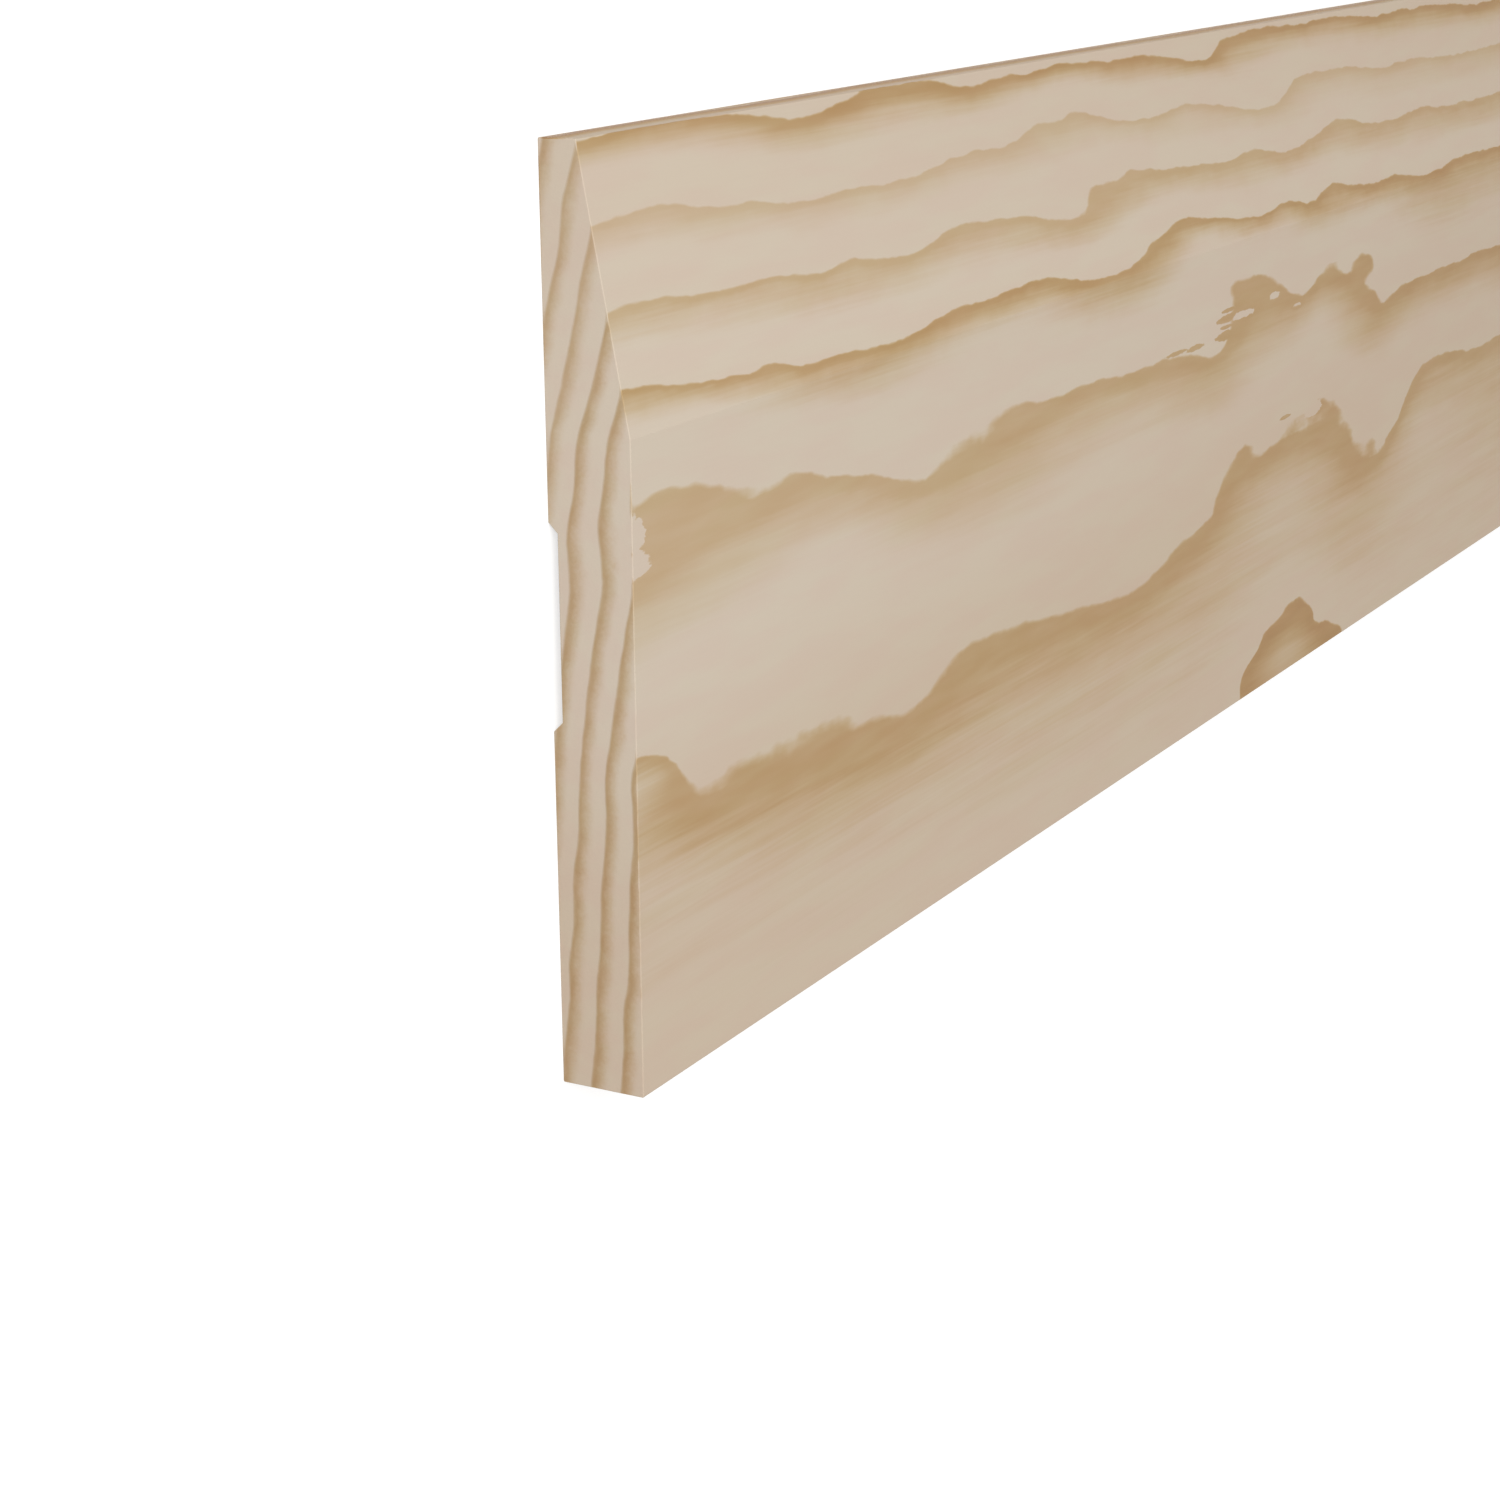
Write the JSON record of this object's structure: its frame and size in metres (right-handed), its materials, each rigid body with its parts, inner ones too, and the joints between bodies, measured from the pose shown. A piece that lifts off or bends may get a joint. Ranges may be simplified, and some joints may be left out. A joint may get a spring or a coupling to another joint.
{
  "type": "architrave",
  "caption": "Length of bevelled pine architrave, flat-faced with a splayed thin edge and a shallow relief channel along its back, for trimming round a door or window opening.",
  "frame": {"origin": "centre of the back, in the plane of its two flat lands", "axes": "+X along the length, +Y across the width from the thick edge to the thin bevelled edge, +Z from the back to the face"},
  "size_m": [2.1, 0.12, 0.012],
  "materials": {
    "pine": "bare planed softwood, matt, with flat-sawn growth-ring figure"
  },
  "bodies": {
    "root": {"architrave": "pine"}
  },
  "joints": []
}
